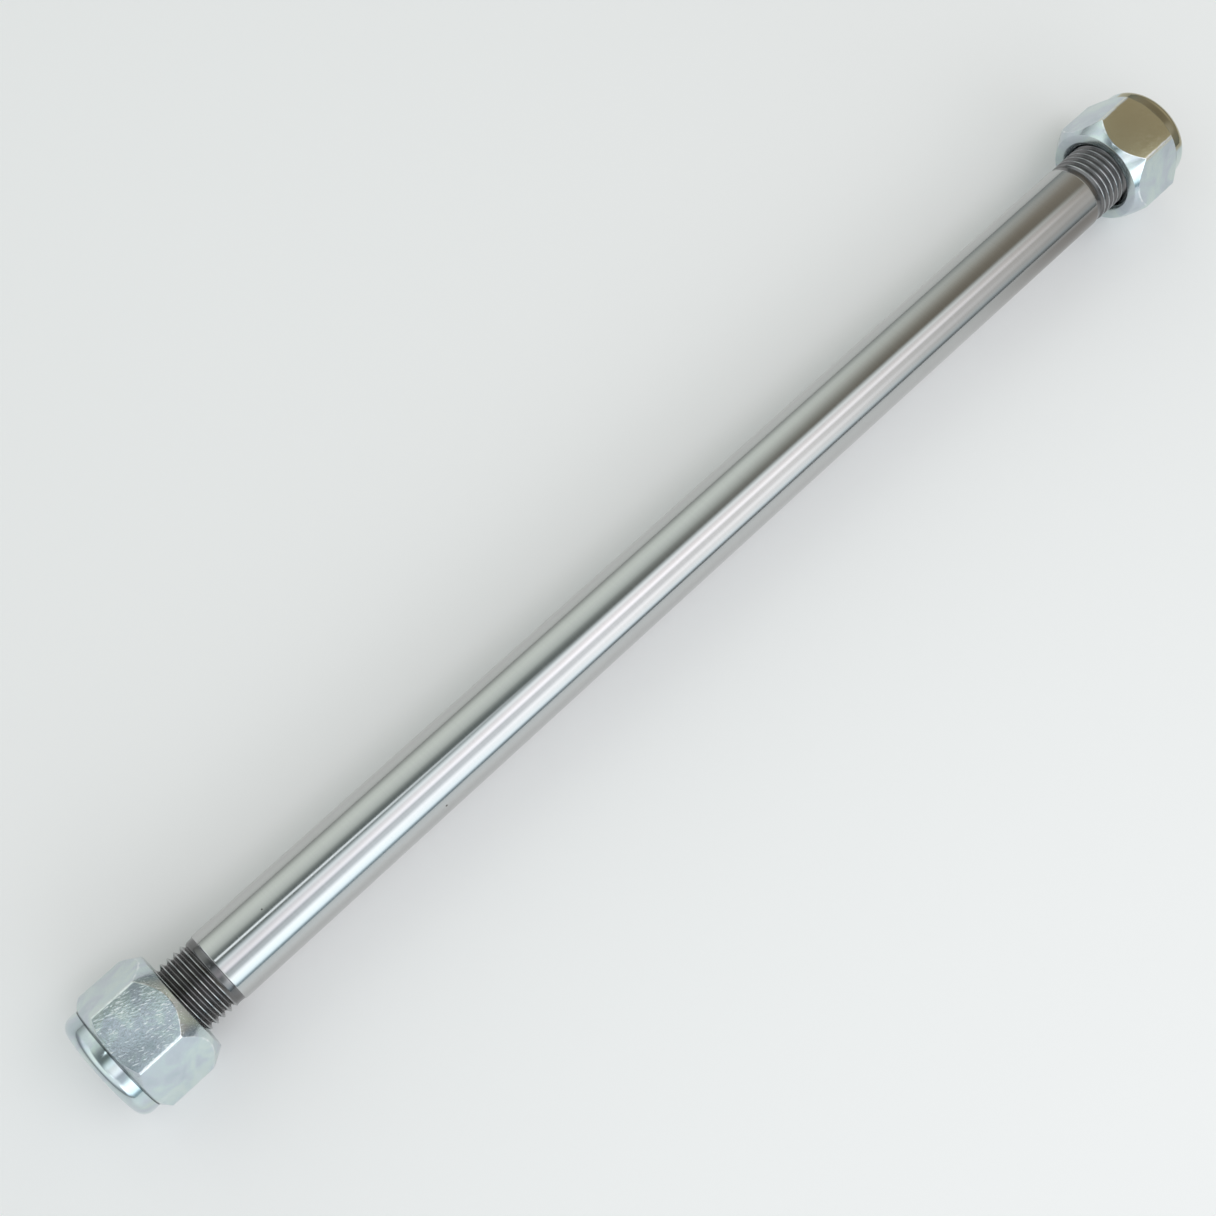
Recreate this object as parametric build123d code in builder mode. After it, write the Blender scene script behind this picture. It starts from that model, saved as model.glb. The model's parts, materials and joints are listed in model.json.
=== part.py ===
from build123d import *
import math
import os

os.makedirs("parts", exist_ok=True)

# A double-ended stud with a ground shank, and a nylon-insert lock nut on each of its threads.
# +X runs along the stud, +Z is up, and the origin is the middle of the stud on its axis.
# The nuts lie on a flat of the hexagon, so a flat faces +Z and corners point along +Y and -Y.

# ---- Driving sizes, in millimetres and degrees ----

# stud
shank_diameter = 12.7
shank_length = 205.0
shank_edge_break = 0.12
neck_diameter = 12.1
neck_foot_diameter = 11.8
neck_length = 1.35
land_ramp_length = 1.1

# right-hand thread on both ends of the stud, plain here at the diameter of its crests
thread_major_diameter = 12.6
thread_length = 19.05
tip_chamfer = 0.9

# hexagon of the lock nut
nut_across_flats = 19.05
nut_corner_radius = 0.4
bearing_diameter = 18.1
bearing_chamfer_angle = 58.0
hexagon_height = 11.8
hexagon_chamfer_angle = 41.0
mouth_diameter = 14.7
mouth_angle = 45.0
bore_clearance = 0.06

# crimped collar that holds the nylon ring
nut_height = 15.1
collar_diameter = 18.7
collar_root_diameter = 18.1
collar_root_width = 0.45
collar_flare_height = 0.35
collar_wall = 1.1
collar_roll_radius = 1.8
lip_thickness = 0.8
lip_bore_diameter = 14.6
collar_roll_steps = 6
insert_seat_height = 11.9
insert_clearance = 0.03
tip_gap = 0.05

# ---- Sizes that follow from them ----

shank_radius = shank_diameter / 2
neck_radius = neck_diameter / 2
neck_foot_radius = neck_foot_diameter / 2
shoulder = shank_length / 2
neck_end = shoulder + neck_length
land_full = neck_end + land_ramp_length
tip = shoulder + thread_length
major_radius = thread_major_diameter / 2

# each nut is spun on by hand, until the stud's tip comes to its nylon ring
bearing = tip - insert_seat_height + tip_gap
half_flats = nut_across_flats / 2
half_corners = half_flats / math.cos(math.radians(30))
bearing_radius = bearing_diameter / 2
mouth_radius = mouth_diameter / 2
bore_radius = major_radius + bore_clearance
mouth_depth = (mouth_radius - bore_radius) / math.tan(math.radians(mouth_angle))
bearing_chamfer_end = bearing + (half_corners - bearing_radius) * math.tan(math.radians(bearing_chamfer_angle))
hexagon_chamfer_slope = math.tan(math.radians(hexagon_chamfer_angle))
hexagon_end = bearing + hexagon_height
collar_root_radius = collar_root_diameter / 2
collar_root_start = hexagon_end + (half_flats - collar_root_radius) * hexagon_chamfer_slope
hexagon_chamfer_start = hexagon_end - (half_corners - half_flats) * hexagon_chamfer_slope
collar_start = collar_root_start + collar_root_width + collar_flare_height
collar_radius = collar_diameter / 2
collar_end = bearing + nut_height
# quarter turn of the roll, in a few flats so that the two nuts stay light
collar_roll_angles = [math.radians(90 * step / collar_roll_steps) for step in range(collar_roll_steps + 1)]
collar_roll = [
    (
        collar_end - collar_roll_radius * (1 - math.sin(angle)),
        collar_radius - collar_roll_radius * (1 - math.cos(angle)),
    )
    for angle in collar_roll_angles
]
lip_radius = lip_bore_diameter / 2
lip_under = collar_end - lip_thickness
pocket_radius = collar_radius - collar_wall
insert_seat = bearing + insert_seat_height
insert_radius = pocket_radius - insert_clearance
insert_start = insert_seat + insert_clearance
insert_end = lip_under - insert_clearance

# ---- Stud ----

with BuildPart() as stud:
    # ground shank, a step down to a tapered neck, a ramp up to the thread, and a chamfer that starts the nut
    with BuildSketch(Plane.XZ):
        with BuildLine():
            Polyline(
                (0, 0),
                (0, shank_radius),
                (shoulder - shank_edge_break, shank_radius),
                (shoulder, shank_radius - shank_edge_break),
                (shoulder, neck_radius),
                (neck_end, neck_foot_radius),
                (land_full, major_radius),
                (tip - tip_chamfer, major_radius),
                (tip, major_radius - tip_chamfer),
                (tip, 0),
                close=True,
            )
        make_face()
        mirror(about=Plane.YZ)
    revolve(axis=Axis.X)

# ---- Lock nuts ----

# The right nut is modelled where it sits, and the left one is its mirror image.
with BuildPart() as right_nut:
    # hexagon, its long edges slightly rounded
    with BuildSketch(Plane.YZ.offset(bearing)):
        RegularPolygon(half_flats, side_count=6, major_radius=False)
    extrude(amount=collar_root_start - bearing)
    fillet(right_nut.edges().filter_by(Axis.X), nut_corner_radius)
    # turned outline that chamfers the hexagon at both ends
    with BuildSketch(Plane.XZ):
        with BuildLine():
            Polyline(
                (bearing, 0),
                (bearing, bearing_radius),
                (bearing_chamfer_end, half_corners),
                (hexagon_chamfer_start, half_corners),
                (collar_root_start, collar_root_radius),
                (collar_root_start, 0),
                close=True,
            )
        make_face()
    revolve(axis=Axis.X, mode=Mode.INTERSECT)
    # collar on a narrow waist, with its end rolled inwards
    with BuildSketch(Plane.XZ):
        with BuildLine():
            Polyline(
                *collar_roll,
                (collar_end, 0),
                (hexagon_end, 0),
                (hexagon_end, collar_root_radius),
                (collar_root_start + collar_root_width, collar_root_radius),
                (collar_start, collar_radius),
                close=True,
            )
        make_face()
    revolve(axis=Axis.X)
    # countersunk mouth, bore, and the pocket that the rolled lip closes over the nylon ring
    with BuildSketch(Plane.XZ):
        with BuildLine():
            Polyline(
                (bearing, 0),
                (bearing, mouth_radius),
                (bearing + mouth_depth, bore_radius),
                (insert_seat, bore_radius),
                (insert_seat, pocket_radius),
                (lip_under, pocket_radius),
                (lip_under, lip_radius),
                (collar_end, lip_radius),
                (collar_end, 0),
                close=True,
            )
        make_face()
    revolve(axis=Axis.X, mode=Mode.SUBTRACT)

with BuildPart() as left_nut:
    mirror(right_nut.part, about=Plane.YZ)

# ---- Nylon rings ----

# Each fills its nut's pocket, and its hole is the bore's own.
with BuildPart() as right_nylon_insert:
    with BuildSketch(Plane.XZ):
        with BuildLine():
            Polyline(
                (insert_start, bore_radius),
                (insert_start, insert_radius),
                (insert_end, insert_radius),
                (insert_end, bore_radius),
                close=True,
            )
        make_face()
    revolve(axis=Axis.X)

with BuildPart() as left_nylon_insert:
    mirror(right_nylon_insert.part, about=Plane.YZ)

# ---- Files ----

stud.part.label = "stud"
right_nut.part.label = "right_nut"
left_nut.part.label = "left_nut"
right_nylon_insert.part.label = "right_nylon_insert"
left_nylon_insert.part.label = "left_nylon_insert"

export_step(stud.part, "parts/stud.step")
export_step(right_nut.part, "parts/right_nut.step")
export_step(left_nut.part, "parts/left_nut.step")
export_step(right_nylon_insert.part, "parts/right_nylon_insert.step")
export_step(left_nylon_insert.part, "parts/left_nylon_insert.step")
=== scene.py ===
import json
import math

import bmesh
import bpy
from mathutils import Matrix, Vector


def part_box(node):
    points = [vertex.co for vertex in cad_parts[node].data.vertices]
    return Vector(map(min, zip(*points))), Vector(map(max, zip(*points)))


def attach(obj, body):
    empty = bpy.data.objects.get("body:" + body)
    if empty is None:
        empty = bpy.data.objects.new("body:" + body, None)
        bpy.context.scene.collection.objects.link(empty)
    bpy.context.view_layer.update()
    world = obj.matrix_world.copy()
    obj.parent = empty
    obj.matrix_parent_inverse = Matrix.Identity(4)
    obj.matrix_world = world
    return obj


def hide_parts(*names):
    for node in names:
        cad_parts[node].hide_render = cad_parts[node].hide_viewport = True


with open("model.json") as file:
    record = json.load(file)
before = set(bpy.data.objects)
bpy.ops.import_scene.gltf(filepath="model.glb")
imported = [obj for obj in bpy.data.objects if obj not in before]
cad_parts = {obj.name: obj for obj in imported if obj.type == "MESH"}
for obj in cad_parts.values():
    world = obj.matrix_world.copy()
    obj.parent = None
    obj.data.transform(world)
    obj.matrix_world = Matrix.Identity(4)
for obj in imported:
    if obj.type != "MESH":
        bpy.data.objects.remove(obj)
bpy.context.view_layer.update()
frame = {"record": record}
bpy.ops.object.select_all(action="DESELECT")

mm = 0.001
fullTurn = 2 * math.pi
hexAngle = math.radians(30)                     # from the middle of a flat to a corner
endForEnd = Matrix.Rotation(math.pi, 4, "Z")    # the left end is the right one, turned round
weld = 1e-6         # metres between points that are merged
cutWidth = 1e-7     # metres from a cutting plane within which a point lies on it
nearly = 0.01       # by which a size in millimetres, or a part of a normal, may be off

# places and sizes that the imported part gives, in millimetres; the floor is in metres
record = frame["record"]
mounts = {mount["name"]: mount for mount in record["mounts"]}
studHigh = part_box("stud")[1]
nutLow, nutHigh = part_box("right_nut")
ringLow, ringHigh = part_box("right_nylon_insert")
place = {
    "tip": studHigh.x / mm,
    "shankRadius": mounts["shank"]["dims"]["r_mm"],
    "shoulder": mounts["shank"]["dims"]["length_mm"] / 2,
    "pitch": record["behaviour"]["couplings"][0]["ratio"] * fullTurn / mm,
    "bearing": nutLow.x / mm,
    "nutEnd": nutHigh.x / mm,
    "halfFlats": nutHigh.z / mm,
    "ringStart": ringLow.x / mm,
    "ringEnd": ringHigh.x / mm,
    "ringRadius": ringHigh.z / mm,
    "floor": nutLow.z,
}
halfCorners = place["halfFlats"] / math.cos(hexAngle)


def linear(hexColour):
    # an sRGB hex value as linear red, green, blue and alpha
    parts = [int(hexColour[i:i + 2], 16) / 255 for i in (1, 3, 5)]
    return [c / 12.92 if c <= 0.04045 else ((c + 0.055) / 1.055) ** 2.4 for c in parts] + [1.0]


def addNode(tree, kind, inputs=None, stops=None, **settings):
    # one node: its settings, a ramp's stops, and its inputs. An input is a value, a socket to link
    # from, or a node, which stands for the first of its outputs that is in use
    node = tree.nodes.new("ShaderNode" + kind)
    for key, value in settings.items():
        setattr(node, key, value)
    if stops:
        ramp = node.color_ramp.elements
        ramp.remove(ramp[1])
        ramp[0].color = linear(stops[0][1])
        for position, colour in stops[1:]:
            ramp.new(position).color = linear(colour)
    for key, value in (inputs or {}).items():
        if isinstance(value, bpy.types.Node):
            value = next(output for output in value.outputs if output.enabled)
        if isinstance(value, bpy.types.NodeSocket):
            tree.links.new(value, node.inputs[key])
        else:
            node.inputs[key].default_value = value
    return node


def newMaterial(name):
    material = bpy.data.materials.new(name)
    material.use_nodes = True
    material.node_tree.nodes.clear()
    return material, material.node_tree


def editMesh(piece, selectMode="VERT"):
    # the piece alone is selected and opened in edit mode
    bpy.ops.object.select_all(action="DESELECT")
    piece.select_set(True)
    bpy.context.view_layer.objects.active = piece
    bpy.ops.object.mode_set(mode="EDIT")
    bpy.ops.mesh.select_mode(type=selectMode)


def closeEdit():
    bpy.ops.object.mode_set(mode="OBJECT")


def pickEdges(piece, chosen):
    # in edit mode, the chosen edges alone are selected
    bpy.ops.mesh.select_all(action="DESELECT")
    for edge in bmesh.from_edit_mesh(piece.data).edges:
        edge.select = chosen(edge)
    bmesh.update_edit_mesh(piece.data)


def radiusOf(vertex):
    return math.hypot(vertex.co.y, vertex.co.z) / mm


def shapeRadius(piece, shape):
    # each vertex moves out or in to the radius that shape gives for its x and radius
    for vertex in piece.data.vertices:
        radius = radiusOf(vertex)
        shaped = shape(vertex.co.x / mm, radius)
        vertex.co.y *= shaped / radius
        vertex.co.z *= shaped / radius


def drawOutline(name, points):
    # one vertex, extruded from point to point: x along the stud, r out from its axis, in mm
    bpy.ops.mesh.primitive_plane_add(size=mm, location=(0, 0, 0))
    outline = bpy.context.object
    outline.name = outline.data.name = name
    editMesh(outline)
    bpy.ops.mesh.select_all(action="SELECT")
    bpy.ops.mesh.merge(type="CENTER")
    startX, startR = points[0]
    bpy.ops.transform.translate(value=(startX * mm, 0, startR * mm))
    for (x0, r0), (x1, r1) in zip(points, points[1:]):
        bpy.ops.mesh.extrude_vertices_move(
            TRANSFORM_OT_translate={"value": ((x1 - x0) * mm, 0, (r1 - r0) * mm)}
        )
    closeEdit()
    return outline


def spinRound(outline, steps):
    # the outline turned about the stud's axis
    editMesh(outline)
    bpy.ops.mesh.select_all(action="SELECT")
    bpy.ops.mesh.spin(steps=steps, angle=fullTurn, center=(0, 0, 0), axis=(1, 0, 0))
    bpy.ops.mesh.select_all(action="SELECT")
    bpy.ops.mesh.remove_doubles(threshold=weld)
    bpy.ops.mesh.normals_make_consistent(inside=False)
    closeEdit()
    return outline


def joinPieces(name, pieces):
    bpy.ops.object.select_all(action="DESELECT")
    for piece in pieces:
        piece.select_set(True)
    bpy.context.view_layer.objects.active = pieces[0]
    bpy.ops.object.join()
    pieces[0].name = pieces[0].data.name = name
    return pieces[0]


def copyToLeft(piece, name):
    copy = piece.copy()
    copy.data = piece.data.copy()
    copy.name = copy.data.name = name
    bpy.context.collection.objects.link(copy)
    copy.data.transform(endForEnd)
    return copy


def bridgeAt(piece, planes, reach):
    # open rings that face each other across a plane, each within reach of it, are joined by a band
    for plane in planes:
        editMesh(piece, "EDGE")
        pickEdges(piece, lambda edge: edge.is_boundary and all(
            abs(vertex.co.x / mm - plane) < reach for vertex in edge.verts
        ))
        bpy.ops.mesh.bridge_edge_loops()
        closeEdit()


def closeMesh(piece, smoothAngle):
    # normals turned outwards, and edges left sharp where they turn by more than smoothAngle degrees
    editMesh(piece)
    bpy.ops.mesh.select_all(action="SELECT")
    bpy.ops.mesh.normals_make_consistent(inside=False)
    bpy.ops.mesh.select_all(action="DESELECT")
    closeEdit()
    bpy.ops.object.shade_smooth_by_angle(angle=math.radians(smoothAngle))


threadForm = {
    "majorRadius": 6.3,     # over the crests
    "depth": 0.78,          # crest to root
    "crestRound": 0.137,    # radius of a rolled crest
    "rootRound": 0.183,     # radius in the root
    "flankTurn": 60,        # degrees from the top of a round to the flank
    "arcStep": 20,          # degrees between points of a round
    "stepsPerTurn": 72,
    "firstRoot": -2,        # pitches from the shoulder to the root from which all threads count
    "neckRadius": 6.1,      # the blank between the shank and the thread
    "neckLength": 1.0,
    "runOut": 0.9,          # length over which the thread rises out of the blank
    "tipChamfer": 0.9,
}


def threadOutline(crestCut=0.0, lift=0.0):
    # one pitch of the thread, from the middle of a root to the middle of the next
    form = threadForm
    pitch = place["pitch"]
    crest, root = form["crestRound"], form["rootRound"]
    crestCentre = form["majorRadius"] - crest
    rootCentre = form["majorRadius"] - form["depth"] + root
    angles = [math.radians(a) for a in range(0, form["flankTurn"] + 1, form["arcStep"])]
    rise = [(root * math.sin(a), rootCentre - root * math.cos(a)) for a in angles]
    top = [
        (pitch / 2 + crest * math.sin(a), crestCentre + crest * math.cos(a))
        for a in [-angle for angle in reversed(angles[1:])] + angles
    ]
    fall = [(pitch - x, r) for x, r in reversed(rise)]
    return [(x, max(r + lift, crestCut)) for x, r in rise + top + fall]


def rollThread(name, outline, start, end):
    # the outline swept along a right-hand helix, and cut square at both ends
    pitch = place["pitch"]
    # every thread counts from the same root, so that nut and stud mesh
    firstRoot = place["shoulder"] + threadForm["firstRoot"] * pitch
    skipped = math.floor((start - firstRoot) / pitch) - 1
    begin = firstRoot + skipped * pitch
    turns = math.ceil((end - begin) / pitch) + 1
    thread = drawOutline(name, [(begin + x, r) for x, r in outline])
    screw = thread.modifiers.new("Screw", "SCREW")
    screw.axis = "X"
    screw.angle = fullTurn
    screw.screw_offset = pitch * mm
    screw.iterations = turns
    screw.steps = screw.render_steps = threadForm["stepsPerTurn"]
    screw.use_merge_vertices = False
    bpy.ops.object.modifier_apply(modifier=screw.name)
    editMesh(thread)
    bpy.ops.mesh.select_all(action="SELECT")
    bpy.ops.mesh.remove_doubles(threshold=weld)
    for x, side in ((start, -1), (end, 1)):
        bpy.ops.mesh.select_all(action="SELECT")
        bpy.ops.mesh.bisect(
            plane_co=(x * mm, 0, 0), plane_no=(side, 0, 0), clear_outer=True, threshold=cutWidth
        )
    closeEdit()
    return thread


studForm = {
    "roundSteps": 128,
    "edgeBreak": 0.12,      # at the shoulders
    "breakMiddle": 0.3,     # how far along the broken edge its middle point lies, which rounds it
    "neckTop": 6.2,         # radius of the neck under the shoulder
    "neckFoot": 0.05,       # rounds the corner between neck and shoulder
    "neckSlope": 0.25,      # length of the neck's first slope
    "neckDrop": 0.06,       # and how far it goes down
    "joinGap": 0.1,         # between neck and thread, bridged by a band
    "smoothAngle": 25,
}


def buildStud():
    form = studForm
    shoulder, radius = place["shoulder"], place["shankRadius"]
    top, foot, edge = form["neckTop"], form["neckFoot"], form["edgeBreak"]
    middle = edge * form["breakMiddle"]
    neckRadius = threadForm["neckRadius"]
    neckEnd = shoulder + threadForm["neckLength"]
    half = [
        (neckEnd - form["joinGap"], neckRadius),
        (shoulder + form["neckSlope"], top - form["neckDrop"]),
        (shoulder + foot, top),
        (shoulder, top + foot),
        (shoulder, radius - edge),
        (shoulder - middle, radius - middle),
        (shoulder - edge, radius),
        (shoulder - edge * 2, radius),      # keeps the shank's shading straight
    ]
    outline = [(-x, r) for x, r in half] + [(x, r) for x, r in reversed(half)]
    shank = spinRound(drawOutline("shank", outline), form["roundSteps"])

    def threadEnds(x, r):
        # the thread rises out of the neck, and the tip is chamfered
        rise = min(max((x - neckEnd) / threadForm["runOut"], 0), 1)
        rise = rise * rise * (3 - 2 * rise)
        chamfer = threadForm["majorRadius"] - threadForm["tipChamfer"] + (place["tip"] - x)
        return min(neckRadius + (r - neckRadius) * rise, chamfer)

    rightThread = rollThread("rightThread", threadOutline(), neckEnd, place["tip"])
    shapeRadius(rightThread, threadEnds)
    editMesh(rightThread, "EDGE")
    pickEdges(rightThread, lambda edge: edge.is_boundary and all(
        vertex.co.x / mm > place["tip"] - nearly for vertex in edge.verts
    ))
    bpy.ops.mesh.edge_face_add()
    closeEdit()
    leftThread = copyToLeft(rightThread, "leftThread")
    stud = joinPieces("threadedStud", [shank, rightThread, leftThread])
    join = neckEnd - form["joinGap"] / 2
    bridgeAt(stud, (-join, join), form["joinGap"])
    closeMesh(stud, form["smoothAngle"])
    return stud


print("stud")
stud = buildStud()


nutForm = {
    "roundSteps": 120,
    "cornerRound": 0.5,         # of the hexagon's long edges
    "cornerSegments": 3,
    "spare": 0.1,               # by which the turned outline stands outside the hexagon's corners
    "edgeRound": 0.1,           # where the flats meet the bearing chamfer
    "edgeSegments": 2,
    "leastSlope": 0.2,          # least x in the normal of a chamfer
    "bearingRadius": 9.05,      # flat ring that presses on the work
    "bearingChamfer": 58,       # degrees
    "soft": 0.12,               # rounds the edges of the bearing face and of the lip
    "mouthRadius": 7.35,        # countersink
    "mouthDepth": 0.4,          # of the countersink's turned part
    "threadDepth": 0.5,         # where the thread's own chamfer carries the countersink on
    "hexHeight": 11.8,
    "topChamfer": 41,           # degrees
    "waistWidth": 0.2,          # of the groove between hexagon and collar
    "waistRadius": 9.12,
    "grooveEdge": 0.02,         # rounds the edge of the hexagon at the groove
    "grooveFoot": (0.05, 0.08),     # rounds the corner from the groove's wall to its floor
    "collarEdge": 0.04,         # rounds the collar's edge
    "collarRadius": 9.35,
    "collarWall": 1.1,
    "roll": 1.8,                # radius of the rolled-in collar
    "rollSteps": 10,
    "lip": 0.8,                 # thickness of the lip over the nylon
    "lipRadius": 7.3,
    "lipMiddle": 0.35,          # how far along the lip's round edge its middle point lies
    "ringClearance": 0.03,      # under the nylon
    "threadLift": 0.1,          # clearance from the stud's thread, outwards
    "threadCrest": 5.86,        # radius of the hole through the thread's crests
    "threadMouth": 6.45,        # radius at which the nut's thread ends in a chamfer
    "joinGap": 0.1,             # from the seat's edge to the thread, bridged by a band
    "joinReach": 0.06,
    "doubles": 2e-5,            # metres between points that the cut leaves too close together
    "turnedSmoothAngle": 25,
    "smoothAngle": 28,
}
seat = place["ringStart"] - nutForm["ringClearance"]


def nutOutline():
    # from the countersink, round the outside, into the nylon's pocket
    form = nutForm
    bearing, end, halfFlats = place["bearing"], place["nutEnd"], place["halfFlats"]
    soft, mouth, depth = form["soft"], form["mouthRadius"], form["mouthDepth"]
    face, waist, collar = form["bearingRadius"], form["waistRadius"], form["collarRadius"]
    lip, lipRadius = end - form["lip"], form["lipRadius"]
    middle = soft * form["lipMiddle"]
    edge, brim = form["grooveEdge"], form["collarEdge"]
    wallFoot, floorFoot = form["grooveFoot"]
    corner = halfCorners + form["spare"]
    bearingSlope = math.tan(math.radians(form["bearingChamfer"]))
    topSlope = math.tan(math.radians(form["topChamfer"]))
    hexEnd = bearing + form["hexHeight"]
    collarStart = hexEnd + form["waistWidth"]
    pocket = collar - form["collarWall"]
    steps = form["rollSteps"]
    angles = [math.radians(90 * step / steps) for step in range(steps + 1)]
    rolled = [
        (end - form["roll"] * (1 - math.sin(a)), collar - form["roll"] * (1 - math.cos(a)))
        for a in angles
    ]
    return [
        (bearing + depth, mouth - depth),
        (bearing + soft, mouth - soft),
        (bearing, mouth + soft),
        (bearing, face - soft),
        (bearing + soft / 2, face + soft / 4),
        (bearing + (corner - face) * bearingSlope, corner),
        (hexEnd - (corner - halfFlats) * topSlope, corner),
        (hexEnd + edge, halfFlats - edge),
        (hexEnd + wallFoot, waist + wallFoot),
        (hexEnd + floorFoot, waist),
        (collarStart - brim, waist),
        (collarStart, collar - brim),
        (collarStart + brim, collar),
        *rolled,
        (end, lipRadius + soft),
        (end - middle, lipRadius + middle),
        (end - soft, lipRadius),
        (lip, lipRadius),
        (lip, pocket),
        (seat, pocket),
        (seat, form["threadMouth"] + form["joinGap"]),
    ]


def buildNut():
    form = nutForm
    bearing, halfFlats = place["bearing"], place["halfFlats"]
    turned = spinRound(drawOutline("turnedNut", nutOutline()), form["roundSteps"])
    outline = threadOutline(form["threadCrest"], form["threadLift"])
    threadStart, threadEnd = bearing + form["threadDepth"], seat - form["joinGap"] / 2
    thread = rollThread("nutThread", outline, threadStart, threadEnd)
    # both ends of the thread are chamfered
    shapeRadius(thread, lambda x, r: max(
        r, form["mouthRadius"] - (x - bearing), form["threadMouth"] - (threadEnd - x)
    ))
    nut = joinPieces("rightLockNut", [turned, thread])
    mouthJoin = bearing + (form["mouthDepth"] + form["threadDepth"]) / 2
    bridgeAt(nut, (mouthJoin, seat), form["joinReach"])
    closeMesh(nut, form["turnedSmoothAngle"])

    # a hexagonal bar with rounded corners, longer than the nut, cuts the turned outline to shape
    bpy.ops.mesh.primitive_cylinder_add(
        vertices=6,
        radius=halfCorners * mm,
        depth=(place["nutEnd"] - bearing) * 2 * mm,
        location=((bearing + place["nutEnd"]) / 2 * mm, 0, 0),
        rotation=(0, fullTurn / 4, 0),
    )
    bar = bpy.context.object
    bpy.ops.object.transform_apply(location=True, rotation=True, scale=True)
    editMesh(bar, "EDGE")
    pickEdges(bar, lambda edge: abs(edge.verts[1].co.x - edge.verts[0].co.x) / mm > nearly)
    bpy.ops.mesh.bevel(
        offset=form["cornerRound"] * math.tan(hexAngle) * mm,
        segments=form["cornerSegments"],
        affect="EDGES",
    )
    closeEdit()
    cut = nut.modifiers.new("Hexagon", "BOOLEAN")
    cut.operation = "INTERSECT"
    cut.solver = "EXACT"
    cut.object = bar
    bpy.ops.object.select_all(action="DESELECT")
    bpy.context.view_layer.objects.active = nut
    bpy.ops.object.modifier_apply(modifier=cut.name)
    bpy.data.objects.remove(bar)

    def atBearingRim(edge):
        # whether it lies between a flat, whose normal has no x, and the bearing chamfer
        if min(map(radiusOf, edge.verts)) < halfFlats - nearly or len(edge.link_faces) != 2:
            return False
        if max(vertex.co.x for vertex in edge.verts) / mm >= bearing + form["hexHeight"] / 2:
            return False
        flat, slope = sorted(abs(face.normal.x) for face in edge.link_faces)
        return flat < nearly and slope > form["leastSlope"]

    editMesh(nut, "EDGE")
    bpy.ops.mesh.select_all(action="SELECT")
    bpy.ops.mesh.remove_doubles(threshold=form["doubles"])
    pickEdges(nut, atBearingRim)
    bpy.ops.mesh.bevel(
        offset=form["edgeRound"] * mm,
        segments=form["edgeSegments"],
        affect="EDGES",
        clamp_overlap=False,
    )
    closeEdit()
    closeMesh(nut, form["smoothAngle"])
    return nut


ringForm = {
    "boreClearance": 0.06,      # outside the stud's crests
    "soft": 0.25,               # rounds the edges of the hole
    "softMiddle": 0.3,          # how far along the round its middle point lies
    "smoothAngle": 40,
}


def buildRing():
    start, end, outer = place["ringStart"], place["ringEnd"], place["ringRadius"]
    hole = threadForm["majorRadius"] + ringForm["boreClearance"]
    soft = ringForm["soft"]
    middle = soft * ringForm["softMiddle"]
    outline = [
        (start, hole + soft),
        (start, outer),
        (end, outer),
        (end, hole + soft),
        (end - middle, hole + middle),
        (end - soft, hole),
        (start + soft, hole),
        (start + middle, hole + middle),
        (start, hole + soft),
    ]
    ring = spinRound(drawOutline("rightNylonRing", outline), nutForm["roundSteps"])
    closeMesh(ring, ringForm["smoothAngle"])
    return ring


print("nuts and rings")
rightNut = buildNut()
leftNut = copyToLeft(rightNut, "leftLockNut")
rightRing = buildRing()
leftRing = copyToLeft(rightRing, "leftNylonRing")


steelFinish = {
    "colours": ("#b9b9b8", "#c4c4c3"),
    "roughness": (0.05, 0.11),
    "contrast": (0.35, 0.65),       # of the marks and the oil, over which the roughness goes up
    "anisotropy": 0.6,
    "markScale": (4000, 60, 60),    # 0.25 mm wide, to show; real marks are 10 to 20 microns
    "markStrength": 0.02,
    "markDepth": 0.00005,
    "oilScale": 85.0,               # patches some 12 mm across
    "oilSwirl": 0.8,
    # a darker, browner colour for the -Y side near the right-hand neck
    "darkerSide": "#827d79",
    "darkerAlong": (0.06, 0.1),     # metres of X, from clean to greasy
    "darkerAside": (-0.0042, -0.0054),  # metres of Y
    "pits": "#4a4640",
    "pitScale": 110.0,              # cells 9 mm across; few of their middles lie on the surface
    "pitRadius": (0.014, 0.026),    # of a cell's width, dark to clean: 0.13 and 0.24 mm
}


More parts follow.
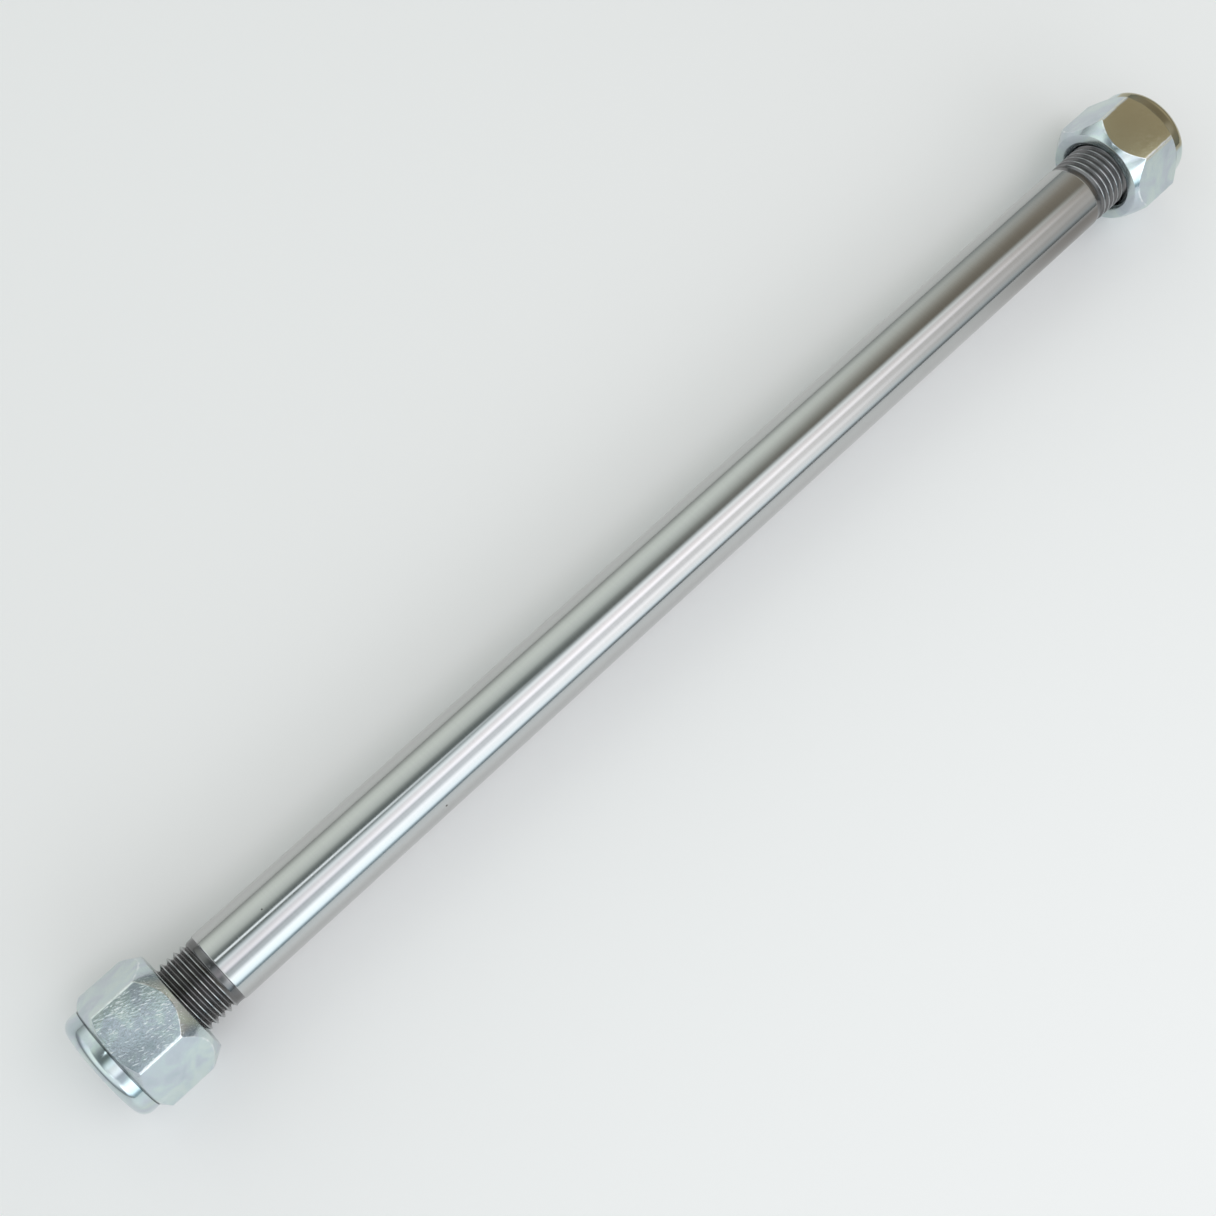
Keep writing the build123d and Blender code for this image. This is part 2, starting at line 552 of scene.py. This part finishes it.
def groundSteel():
    # bare steel, centreless ground and polished: a mirror, blurred along the bar by marks that run
    # round it
    form = steelFinish
    material, tree = newMaterial("groundPolishedSteel")
    spot = addNode(tree, "TexCoord").outputs["Object"]
    parts = addNode(tree, "SeparateXYZ", {"Vector": spot})
    aligned = addNode(tree, "Mapping", {"Vector": spot, "Scale": form["markScale"]})
    marks = addNode(tree, "TexNoise", {"Vector": aligned, "Scale": 1.0, "Detail": 3.0})
    oil = addNode(
        tree,
        "TexNoise",
        {"Vector": spot, "Scale": form["oilScale"], "Detail": 4.0, "Distortion": form["oilSwirl"]},
    )
    both = addNode(tree, "Mix", {"Factor": 0.5, "A": marks, "B": oil})
    roughness = addNode(
        tree,
        "MapRange",
        {
            "Value": both,
            "From Min": form["contrast"][0],
            "From Max": form["contrast"][1],
            "To Min": form["roughness"][0],
            "To Max": form["roughness"][1],
        },
    )
    clean = addNode(
        tree,
        "Mix",
        {"Factor": both, "A": linear(form["colours"][0]), "B": linear(form["colours"][1])},
        data_type="RGBA",
    )
    # a darker, browner colour on the -Y side, over the last 40 mm before the right-hand neck
    outwards, sideways = [
        addNode(
            tree,
            "MapRange",
            {"Value": parts.outputs[axis], "From Min": start, "From Max": end},
            interpolation_type="SMOOTHSTEP",
        )
        for axis, (start, end) in (("X", form["darkerAlong"]), ("Y", form["darkerAside"]))
    ]
    darkening = addNode(tree, "Math", {0: outwards, 1: sideways}, operation="MULTIPLY")
    darkened = addNode(
        tree, "Mix", {"Factor": darkening, "A": clean, "B": linear(form["darkerSide"])}, data_type="RGBA"
    )
    cells = addNode(tree, "TexVoronoi", {"Vector": spot, "Scale": form["pitScale"]})
    pits = addNode(
        tree,
        "MapRange",
        {
            "Value": cells,
            "From Min": form["pitRadius"][0],
            "From Max": form["pitRadius"][1],
            "To Min": 1.0,
            "To Max": 0.0,
        },
    )
    pitted = addNode(
        tree, "Mix", {"Factor": pits, "A": darkened, "B": linear(form["pits"])}, data_type="RGBA"
    )
    ripple = addNode(
        tree,
        "Bump",
        {"Strength": form["markStrength"], "Distance": form["markDepth"], "Height": marks},
    )
    shader = addNode(
        tree,
        "BsdfPrincipled",
        {
            "Base Color": pitted,
            "Metallic": 1.0,
            "Roughness": roughness,
            "Anisotropic": form["anisotropy"],
            "Normal": ripple,
            "Tangent": addNode(tree, "Tangent", direction_type="RADIAL", axis="X"),
        },
    )
    addNode(tree, "OutputMaterial", {"Surface": shader})
    return material


threadFinish = {
    # from the roots out to the crests
    "colours": [
        (0.0, "#7b7979"), (0.5, "#7d7c7c"), (0.74, "#6f6e6e"), (0.9, "#817f80"), (0.985, "#b4b6b6"),
    ],
    "roughness": (0.45, 0.08),
    "dirtScale": 450.0,             # oil and dust lie in patches of 1 to 3 mm
    "dirtSpread": 0.24,             # of the thread's depth, by which the colours shift up and down
    "lineScale": (9000, 250, 250),  # drag lines of the rolling dies, along the thread, 0.1 mm apart
    "lineStrength": 0.25,
    "lineDepth": 0.00002,
}


def rolledThread():
    # thread rolled after the shank was ground: crests burnished bright, dark oil left in the roots
    form = threadFinish
    material, tree = newMaterial("oiledRolledThread")
    spot = addNode(tree, "TexCoord").outputs["Object"]
    across = addNode(tree, "VectorMath", {0: spot, 1: (0, 1 / mm, 1 / mm)}, operation="MULTIPLY")
    height = addNode(
        tree,
        "MapRange",
        {
            "Value": addNode(tree, "VectorMath", {0: across}, operation="LENGTH"),
            "From Min": threadForm["majorRadius"] - threadForm["depth"],
            "From Max": threadForm["majorRadius"],
        },
    )
    dirt = addNode(tree, "TexNoise", {"Vector": spot, "Scale": form["dirtScale"], "Detail": 5.0})
    uneven = addNode(
        tree,
        "Math",
        {0: dirt, 1: form["dirtSpread"], 2: -form["dirtSpread"] / 2},
        operation="MULTIPLY_ADD",
    )
    level = addNode(tree, "Math", {0: height, 1: uneven})
    colour = addNode(tree, "ValToRGB", {"Fac": level}, stops=form["colours"])
    roughness = addNode(
        tree,
        "MapRange",
        {"Value": level, "To Min": form["roughness"][0], "To Max": form["roughness"][1]},
    )
    dragged = addNode(tree, "Mapping", {"Vector": spot, "Scale": form["lineScale"]})
    lines = addNode(tree, "TexNoise", {"Vector": dragged, "Scale": 1.0, "Detail": 2.0})
    bump = addNode(
        tree,
        "Bump",
        {"Strength": form["lineStrength"], "Distance": form["lineDepth"], "Height": lines},
    )
    shader = addNode(
        tree,
        "BsdfPrincipled",
        {"Base Color": colour, "Metallic": 1.0, "Roughness": roughness, "Normal": bump},
    )
    addNode(tree, "OutputMaterial", {"Surface": shader})
    return material


zincFinish = {
    "tints": [
        (0.0, "#bcc7cc"), (0.3, "#c5ccd3"), (0.55, "#c8d4d5"), (0.8, "#ced9d6"), (1.0, "#cfd9d9"),
    ],
    "tintScale": 190.0,             # the passivate's tint drifts over 3 to 6 mm
    "tintSwirl": 1.2,
    "tintSpread": (0.3, 0.7),       # of the noise, for the first tint and the last
    "grainScale": 2600.0,           # peened grain of 0.4 mm
    "grainBlur": 0.12,              # roughness that it adds and takes away
    # scratches laid aslant by tumbling: size in metres, and the least noise that makes one
    "scratches": [
        {"turn": -0.2, "size": (0.0007, 0.00015, 0.00015), "least": 0.69},
        {"turn": -0.45, "size": (0.0016, 0.00018, 0.00018), "least": 0.68},
    ],
    "scratchEdge": 0.06,            # noise above the least, at which a scratch has its full depth
    "scratchDrift": 0.08,           # more of them where the tint is palest
    "knocksAlong": (-0.1, 0.1),     # metres of X, from the left nut's many to the right nut's few
    "knocksLeast": (0.1, 0.25),     # share left on the right nut, and off the upper flat
    "upperFlat": (0.0088, 0.0094),  # metres of Z, from below the upper flat to on it
    "bumpStrength": 0.5,
    "bumpDepth": 0.00004,
    "worn": "#eef1f2",
    "wornScale": 900.0,             # worn edges are ragged over 1 mm
    "wornRagged": 0.5,              # millimetres
    "cornerRagged": 0.4,            # share of that raggedness at the hexagon's corners
    "cornerWear": (0.18, 0.08),     # millimetres in from a corner
    "rimWear": (-0.05, 0.12),       # millimetres in from the bearing chamfer
    # the dark colour of the painted shade in the waist and the bore, and of the dirt stain on the
    # straw collar
    "shadeAndGrime": "#34383a",
    # painted shade in the waist and the bore: millimetres from the middle of the waist, or out from
    # the thread's mouth, and the most shade
    "waistShade": (0.1, 0.25, 0.5),
    "boreShade": (0.05, 0.35, 0.85),
    "straw": "#dcd3b2",
    "strawOnCollar": 0.0035,        # metres by which the straw tint reaches further down the collar
    "strawStain": 0.4,              # how much grime darkens it on the collar
    "strawEdge": (0.02, 0.1),       # millimetres in from the bearing chamfer, which stays blue
    "roughness": (0.22, 0.09),      # hexagon, rolled collar
    "turnedShine": 0.7,             # how near the bearing chamfer comes to the collar's shine
}


def zincPlate():
    # zinc plate with a clear blue passivate over cold-formed steel: a soft metal shine, faintly
    # rainbow, nicked by tumbling and rubbed bright along its edges
    form, shape = zincFinish, nutForm
    bearing, halfFlats = place["bearing"], place["halfFlats"]
    hexEnd = bearing + shape["hexHeight"]
    material, tree = newMaterial("blueZincPlate")
    spot = addNode(tree, "TexCoord").outputs["Object"]
    parts = addNode(tree, "SeparateXYZ", {"Vector": spot})
    # x and r in millimetres, alike for both nuts
    along = addNode(tree, "Math", {0: parts.outputs["X"]}, operation="ABSOLUTE")
    x = addNode(tree, "Math", {0: along, 1: 1 / mm}, operation="MULTIPLY")
    across = addNode(tree, "VectorMath", {0: spot, 1: (0, 1 / mm, 1 / mm)}, operation="MULTIPLY")
    r = addNode(tree, "VectorMath", {0: across}, operation="LENGTH")
    onCollar = addNode(
        tree, "MapRange", {"Value": x, "From Min": hexEnd, "From Max": hexEnd + shape["waistWidth"]}
    )

    drift = addNode(
        tree,
        "TexNoise",
        {
            "Vector": spot,
            "Scale": form["tintScale"],
            "Detail": 3.0,
            "Distortion": form["tintSwirl"],
        },
    )
    spread = addNode(
        tree,
        "MapRange",
        {"Value": drift, "From Min": form["tintSpread"][0], "From Max": form["tintSpread"][1]},
    )
    tint = addNode(tree, "ValToRGB", {"Fac": spread}, stops=form["tints"])

    # tumbling marks: the left nut's upper flat had the roughest ride, and the collars none
    grain = addNode(tree, "TexNoise", {"Vector": spot, "Scale": form["grainScale"], "Detail": 3.0})
    scratches = []
    for kind in form["scratches"]:
        laid = addNode(
            tree,
            "Mapping",
            {"Vector": spot, "Rotation": (0, 0, kind["turn"]), "Scale": kind["size"]},
            vector_type="TEXTURE",
        )
        streak = addNode(tree, "TexNoise", {"Vector": laid, "Scale": 1.0, "Detail": 2.0})
        thick = addNode(
            tree, "Math", {0: spread, 1: form["scratchDrift"], 2: streak}, operation="MULTIPLY_ADD"
        )
        least = kind["least"]
        scratches.append(addNode(
            tree,
            "MapRange",
            {"Value": thick, "From Min": least, "From Max": least + form["scratchEdge"]},
        ))
    nick = addNode(tree, "Math", {0: scratches[0], 1: scratches[1]}, operation="MAXIMUM")
    left = addNode(
        tree,
        "MapRange",
        {
            "Value": parts.outputs["X"],
            "From Min": form["knocksAlong"][0],
            "From Max": form["knocksAlong"][1],
            "To Min": 1.0,
            "To Max": form["knocksLeast"][0],
        },
    )
    top = addNode(
        tree,
        "MapRange",
        {
            "Value": parts.outputs["Z"],
            "From Min": form["upperFlat"][0],
            "From Max": form["upperFlat"][1],
            "To Min": form["knocksLeast"][1],
            "To Max": 1.0,
        },
    )
    rough = addNode(tree, "Math", {0: left, 1: top}, operation="MULTIPLY")
    offCollar = addNode(tree, "Math", {0: 1.0, 1: onCollar}, operation="SUBTRACT")
    knocked = addNode(tree, "Math", {0: rough, 1: offCollar}, operation="MULTIPLY")

    # rubbed edges: the hexagon's corners, and the rims where its flats meet the bearing chamfer
    wobble = addNode(tree, "TexNoise", {"Vector": spot, "Scale": form["wornScale"], "Detail": 3.0})
    ragged = addNode(
        tree,
        "Math",
        {0: wobble, 1: form["wornRagged"], 2: -form["wornRagged"] / 2},
        operation="MULTIPLY_ADD",
    )
    wide = addNode(
        tree, "Math", {0: ragged, 1: form["cornerRagged"], 2: r}, operation="MULTIPLY_ADD"
    )
    corners = addNode(
        tree,
        "MapRange",
        {
            "Value": wide,
            "From Min": halfCorners - form["cornerWear"][0],
            "From Max": halfCorners - form["cornerWear"][1],
        },
    )
    # how deep a point lies under the nearest flat, from its reach towards each pair of flats
    reaches = []
    for angle in (0, 60, 120):
        normal = (0, math.sin(math.radians(angle)), math.cos(math.radians(angle)))
        reach = addNode(tree, "VectorMath", {0: across, 1: normal}, operation="DOT_PRODUCT")
        reaches.append(addNode(tree, "Math", {0: reach}, operation="ABSOLUTE"))
    widest = addNode(tree, "Math", {0: reaches[0], 1: reaches[1]}, operation="MAXIMUM")
    widest = addNode(tree, "Math", {0: widest, 1: reaches[2]}, operation="MAXIMUM")
    under = addNode(tree, "Math", {0: halfFlats, 1: widest}, operation="SUBTRACT")
    bearingSlope = math.tan(math.radians(shape["bearingChamfer"]))
    cone = addNode(
        tree,
        "Math",
        {0: r, 1: bearingSlope, 2: bearing - shape["bearingRadius"] * bearingSlope},
        operation="MULTIPLY_ADD",
    )
    inside = addNode(tree, "Math", {0: x, 1: cone}, operation="SUBTRACT")
    far = addNode(tree, "Math", {0: inside, 1: under}, operation="MAXIMUM")
    rim = addNode(
        tree,
        "MapRange",
        {
            "Value": addNode(tree, "Math", {0: far, 1: ragged}),
            "From Min": form["rimWear"][0],
            "From Max": form["rimWear"][1],
            "To Min": 1.0,
            "To Max": 0.0,
        },
    )
    worn = addNode(tree, "Math", {0: rim, 1: corners}, operation="MAXIMUM")

    # painted shade: the waist under the collar and the threaded bore are darkened where shade falls
    # in them
    waist = hexEnd + shape["waistWidth"] / 2
    fromWaist = addNode(tree, "Math", {0: x, 1: waist}, operation="SUBTRACT")
    fromWaist = addNode(tree, "Math", {0: fromWaist}, operation="ABSOLUTE")
    fromMouth = addNode(tree, "Math", {0: r, 1: shape["threadMouth"]}, operation="SUBTRACT")
    inWaist, inBore = [
        addNode(
            tree,
            "MapRange",
            {"Value": value, "From Min": start, "From Max": end, "To Min": most, "To Max": 0.0},
        )
        for value, (start, end, most) in (
            (fromWaist, form["waistShade"]), (fromMouth, form["boreShade"])
        )
    ]
    shadeAndStain = addNode(tree, "Math", {0: inWaist, 1: inBore}, operation="MAXIMUM")

    # the right nut's passivate turned straw-coloured on its upper flat, and wider on its collar
    high = addNode(
        tree,
        "Math",
        {0: onCollar, 1: form["strawOnCollar"], 2: parts.outputs["Z"]},
        operation="MULTIPLY_ADD",
    )
    straw = addNode(
        tree,
        "MapRange",
        {"Value": high, "From Min": form["upperFlat"][0], "From Max": form["upperFlat"][1]},
    )
    right = addNode(tree, "Math", {0: parts.outputs["X"], 1: 0.0}, operation="GREATER_THAN")
    strawed = addNode(tree, "Math", {0: straw, 1: right}, operation="MULTIPLY")
    flat = addNode(
        tree,
        "MapRange",
        {"Value": inside, "From Min": form["strawEdge"][0], "From Max": form["strawEdge"][1]},
    )
    strawed = addNode(tree, "Math", {0: strawed, 1: flat}, operation="MULTIPLY")
    stained = addNode(tree, "Math", {0: strawed, 1: onCollar}, operation="MULTIPLY")
    stained = addNode(tree, "Math", {0: stained, 1: form["strawStain"]}, operation="MULTIPLY")
    # the straw collar's dirt stain takes the same dark colour as the painted shade
    shadeAndStain = addNode(tree, "Math", {0: shadeAndStain, 1: stained}, operation="MAXIMUM")
    paler = addNode(tree, "Math", {0: nick, 1: knocked}, operation="MULTIPLY")
    paler = addNode(tree, "Math", {0: paler, 1: worn}, operation="MAXIMUM")
    colour = tint
    for share, over in ((strawed, "straw"), (paler, "worn"), (shadeAndStain, "shadeAndGrime")):
        colour = addNode(
            tree, "Mix", {"Factor": share, "A": colour, "B": linear(form[over])}, data_type="RGBA"
        )

    # satin on the hexagon, brighter on the turned chamfer, and brightest on the rolled collar
    onTurned = addNode(
        tree,
        "Math",
        {0: flat, 1: -form["turnedShine"], 2: form["turnedShine"]},
        operation="MULTIPLY_ADD",
    )
    dull = addNode(
        tree,
        "MapRange",
        {
            "Value": addNode(tree, "Math", {0: onCollar, 1: onTurned}, operation="MAXIMUM"),
            "To Min": form["roughness"][0],
            "To Max": form["roughness"][1],
        },
    )
    patchy = addNode(
        tree,
        "Math",
        {0: grain, 1: form["grainBlur"], 2: -form["grainBlur"] / 2},
        operation="MULTIPLY_ADD",
    )
    deep = addNode(tree, "Math", {0: nick, 1: -1.0, 2: grain}, operation="MULTIPLY_ADD")
    bump = addNode(
        tree,
        "Bump",
        {
            "Strength": form["bumpStrength"],
            "Distance": form["bumpDepth"],
            "Height": addNode(tree, "Math", {0: deep, 1: knocked}, operation="MULTIPLY"),
        },
    )
    shader = addNode(
        tree,
        "BsdfPrincipled",
        {
            "Base Color": colour,
            "Metallic": 1.0,
            "Roughness": addNode(tree, "Math", {0: dull, 1: patchy}),
            "Normal": bump,
        },
    )
    addNode(tree, "OutputMaterial", {"Surface": shader})
    return material


nylonFinish = {
    "colours": ("#d9d8cb", "#ecebe2"),
    "roughness": (0.35, 0.6),
    "cloudScale": 500.0,            # patches of 2 mm
    "grainScale": 6500.0,           # 0.15 mm
    "grainStrength": 0.3,
    "grainDepth": 0.00002,
    "milkiness": 0.15,
    "milkyRadius": (1.0, 0.9, 0.8),
    "milkyDepth": 0.0005,
}


def nylon():
    # natural nylon, stamped from sheet: milky, slightly waxy, with a faint matt grain
    form = nylonFinish
    material, tree = newMaterial("naturalNylon")
    spot = addNode(tree, "TexCoord").outputs["Object"]
    cloud = addNode(tree, "TexNoise", {"Vector": spot, "Scale": form["cloudScale"], "Detail": 3.0})
    grain = addNode(tree, "TexNoise", {"Vector": spot, "Scale": form["grainScale"], "Detail": 2.0})
    colour = addNode(
        tree,
        "Mix",
        {"Factor": cloud, "A": linear(form["colours"][0]), "B": linear(form["colours"][1])},
        data_type="RGBA",
    )
    roughness = addNode(
        tree,
        "MapRange",
        {"Value": grain, "To Min": form["roughness"][0], "To Max": form["roughness"][1]},
    )
    bump = addNode(
        tree,
        "Bump",
        {"Strength": form["grainStrength"], "Distance": form["grainDepth"], "Height": grain},
    )
    shader = addNode(
        tree,
        "BsdfPrincipled",
        {
            "Base Color": colour,
            "Roughness": roughness,
            "Subsurface Weight": form["milkiness"],
            "Subsurface Radius": form["milkyRadius"],
            "Subsurface Scale": form["milkyDepth"],
            "Normal": bump,
        },
    )
    addNode(tree, "OutputMaterial", {"Surface": shader})
    return material


print("materials")
steel, rolled, zinc, plastic = groundSteel(), rolledThread(), zincPlate(), nylon()
for piece, materials in (
    (stud, (steel, rolled)),
    (rightNut, (zinc,)),
    (leftNut, (zinc,)),
    (rightRing, (plastic,)),
    (leftRing, (plastic,)),
):
    piece.data.materials.clear()
    for material in materials:
        piece.data.materials.append(material)
for face in stud.data.polygons:
    face.material_index = int(abs(face.center.x) / mm > place["shoulder"] - nearly)

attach(stud, "stud")
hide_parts("stud")
for side, nut, ring in (("right", rightNut, rightRing), ("left", leftNut, leftRing)):
    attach(nut, side + "_nut")
    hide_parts(side + "_nut")
    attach(ring, side + "_nylon")
    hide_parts(side + "_nylon_insert")


stage = {
    "floorColour": "#f9f7f6",
    "floorRoughness": 0.3,
    "floorIndex": 1.5,
    "floorSize": 8.0,
    # softboxes facing the stud from a metre away: the angle from straight up towards -Y, the turn
    # about the vertical, the glow along the face towards +X, and the fade across it towards +Y
    "lampDistance": 1.0,
    "lamps": [
        {
            "name": "overheadPanel",
            "angle": 16,
            "turn": 0,
            "width": 0.73,
            "span": (-0.8, 0.95),
            "radiance": 1.37,
            "glow": [(0.0, "#b0adb3"), (0.41, "#eae6ec"), (0.51, "#fbf7fc"), (0.62, "#fffaff"),
                     (0.73, "#efedf2"), (0.83, "#d8d7dc"), (0.93, "#949497"), (0.97, "#3c3c3e"),
                     (1.0, "#000000")],
            "fade": [(0.0, "#000000"), (0.06, "#8c8c90"), (0.16, "#e8e8ec"), (0.26, "#ffffff"),
                     (0.36, "#f8f8f8"), (0.48, "#eaeaea"), (0.54, "#eaeeee"), (0.65, "#f6ffff"),
                     (0.74, "#dce8e8"), (0.84, "#a4b0b0"), (0.92, "#626c6c"), (1.0, "#000000")],
        },
        {
            "name": "windowPanel",
            "angle": 65,
            "turn": 0,
            "width": 0.73,
            "span": (-0.8, 0.95),
            "radiance": 1.3,
            "glow": [(0.0, "#e4e8f0"), (0.42, "#f9fcff"), (0.51, "#f9faff"), (0.62, "#f0f0f5"),
                     (0.73, "#dbdde2"), (0.83, "#9a9c9f"), (0.93, "#646568"), (1.0, "#3e3e40")],
            "fade": [(0.0, "#000000"), (0.08, "#98a4aa"), (0.16, "#dae7ec"), (0.25, "#f3fdff"),
                     (0.4, "#faffff"), (0.6, "#ffffff"), (0.7, "#eeeeee"), (0.8, "#bcbcbc"),
                     (0.9, "#616161"), (1.0, "#000000")],
        },
        {
            "name": "ceilingGlow",
            "angle": 42,
            "turn": 0,
            "width": 0.73,
            "span": (-0.15, 1.1),
            "radiance": 0.9,
            "glow": [(0.0, "#000000"), (0.2, "#b8bcc4"), (0.34, "#e9edf6"), (0.5, "#f5f8ff"),
                     (0.64, "#c4c8cf"), (0.78, "#92959a"), (1.0, "#6a6c70")],
            "fade": [(0.0, "#000000"), (0.3, "#ffffff"), (0.7, "#ffffff"), (1.0, "#000000")],
        },
        {
            "name": "narrowStrip",
            "angle": -7.5,
            "turn": -27,
            "width": 0.12,
            "span": (-0.25, 0.25),
            "radiance": 1.6,
            "glow": [(0.0, "#f4fbff"), (0.5, "#e4ebf0"), (0.75, "#acb2b6"), (1.0, "#000000")],
            "fade": [(0.0, "#000000"), (0.3, "#ffffff"), (0.7, "#ffffff"), (1.0, "#000000")],
        },
    ],
    "roomLevel": 1.3,
    # the room's colour by the sine of the angle above the table: first its +Y side, then each part
    # that is laid over it, between two nearnesses to its direction
    "room": [
        {
            "colours": [(0.0, "#979b99"), (0.12, "#aab0ac"), (0.34, "#d6ddd8"), (0.55, "#dee6e0"),
                        (0.69, "#d8dfdb"), (0.79, "#cdd5d1"), (0.86, "#bcc4c0"), (0.9, "#9ea5a3"),
                        (0.93, "#848c8a"), (0.955, "#6e7675"), (1.0, "#6c7473")],
        },
        {
            "towards": (0, -1, 0),      # the window side
            "reach": (-0.2, 0.2),
            "colours": [(0.0, "#98a8ae"), (0.14, "#8b9ca4"), (0.4, "#b0bfc4"), (0.74, "#bdc5c9"),
                        (0.85, "#9ea5a8"), (0.93, "#7e8484"), (1.0, "#6c7473")],
        },
        {
            "towards": (1, -0.2, 0.1),  # dim towards the far end
            "reach": (0.25, 0.6),
            "colours": [(0.0, "#747a7c"), (0.12, "#808687"), (0.3, "#8d8d8a"), (0.55, "#908c84"),
                        (0.73, "#858075"), (0.9, "#706c63"), (1.0, "#6a6660")],
        },
        {
            "towards": (1, 0, 0),       # a cream wall past it
            "reach": (0.7, 0.84),
            "colours": [(0.0, "#86837a"), (0.3, "#9c988d"), (0.5, "#b9b4a7"), (0.7, "#cdc8bb")],
        },
        {
            "towards": (-1, 0, 0),      # a pale wall behind the near end
            "reach": (0.12, 0.4),
            "colours": [(0.0, "#8a8f90"), (0.2, "#8f9497"), (0.42, "#e2e8ea"), (0.72, "#eef5f5"),
                        (0.84, "#8f9698"), (0.9, "#72797b")],
        },
    ],
}


def buildFloor():
    # a painted table, pale, with a faint blurred reflection
    bpy.ops.mesh.primitive_plane_add(size=stage["floorSize"], location=(0, 0, place["floor"]))
    floor = bpy.context.object
    floor.name = "floor"
    material, tree = newMaterial("paintedTable")
    shader = addNode(
        tree,
        "BsdfPrincipled",
        {
            "Base Color": linear(stage["floorColour"]),
            "Roughness": stage["floorRoughness"],
            "IOR": stage["floorIndex"],
        },
    )
    addNode(tree, "OutputMaterial", {"Surface": shader})
    floor.data.materials.append(material)


def hangLamps():
    for lamp in stage["lamps"]:
        light = bpy.data.lights.new(lamp["name"], "AREA")
        light.shape = "RECTANGLE"
        start, end = lamp["span"]
        light.size, light.size_y = end - start, lamp["width"]
        # the power at which each point of the face has the given radiance
        light.energy = lamp["radiance"] * math.pi * light.size * light.size_y
        light.use_nodes = True
        tree = light.node_tree
        tree.nodes.clear()
        face = addNode(tree, "NewGeometry").outputs["Parametric"]
        parts = addNode(tree, "SeparateXYZ", {"Vector": face})
        glow = addNode(tree, "ValToRGB", {"Fac": parts.outputs["X"]}, stops=lamp["glow"])
        fade = addNode(tree, "ValToRGB", {"Fac": parts.outputs["Y"]}, stops=lamp["fade"])
        both = addNode(
            tree,
            "Mix",
            {"Factor": 1.0, "A": glow, "B": fade},
            data_type="RGBA",
            blend_type="MULTIPLY",
        )
        emission = addNode(tree, "Emission", {"Color": both})
        addNode(tree, "OutputLight", {"Surface": emission})
        holder = bpy.data.objects.new(lamp["name"], light)
        bpy.context.collection.objects.link(holder)
        angle = math.radians(lamp["angle"])
        holder.location = (
            (start + end) / 2,
            -math.sin(angle) * stage["lampDistance"],
            math.cos(angle) * stage["lampDistance"],
        )
        holder.rotation_euler = (angle, 0, math.radians(lamp["turn"]))


def fillRoom():
    world = bpy.data.worlds.new("room")
    bpy.context.scene.world = world
    world.use_nodes = True
    tree = world.node_tree
    tree.nodes.clear()
    direction = addNode(tree, "TexCoord").outputs["Generated"]
    parts = addNode(tree, "SeparateXYZ", {"Vector": direction})
    room = None
    for part in stage["room"]:
        colours = addNode(tree, "ValToRGB", {"Fac": parts.outputs["Z"]}, stops=part["colours"])
        if not room:
            room = colours
            continue
        start, end = part["reach"]
        nearness = addNode(
            tree, "VectorMath", {0: direction, 1: part["towards"]}, operation="DOT_PRODUCT"
        )
        share = addNode(
            tree,
            "MapRange",
            {"Value": nearness, "From Min": start, "From Max": end},
            interpolation_type="SMOOTHSTEP",
        )
        room = addNode(tree, "Mix", {"Factor": share, "A": room, "B": colours}, data_type="RGBA")
    background = addNode(tree, "Background", {"Color": room, "Strength": stage["roomLevel"]})
    addNode(tree, "OutputWorld", {"Surface": background})


# the camera's place and lens in millimetres, and the picture's right and up directions
view = {
    "place": (-101.2, -44.5, 271.1),
    "right": (0.7113, -0.6955, 0.1015),
    "up": (0.6405, 0.7008, 0.3142),
    "lens": 50.98,
    "sensor": 36,
    "clipStart": 0.01,
}


def placeCamera():
    camera = bpy.data.cameras.new("camera")
    camera.lens = view["lens"]
    camera.sensor_width = view["sensor"]
    camera.clip_start = view["clipStart"]
    holder = bpy.data.objects.new("camera", camera)
    bpy.context.collection.objects.link(holder)
    right = Vector(view["right"]).normalized()
    back = right.cross(Vector(view["up"])).normalized()
    up = back.cross(right)
    turn = Matrix((right, up, back)).transposed().to_4x4()
    holder.matrix_world = Matrix.Translation(Vector(view["place"]) * mm) @ turn
    bpy.context.scene.camera = holder


print("stage")
buildFloor()
hangLamps()
fillRoom()
placeCamera()
bpy.context.scene.view_settings.view_transform = "Standard"
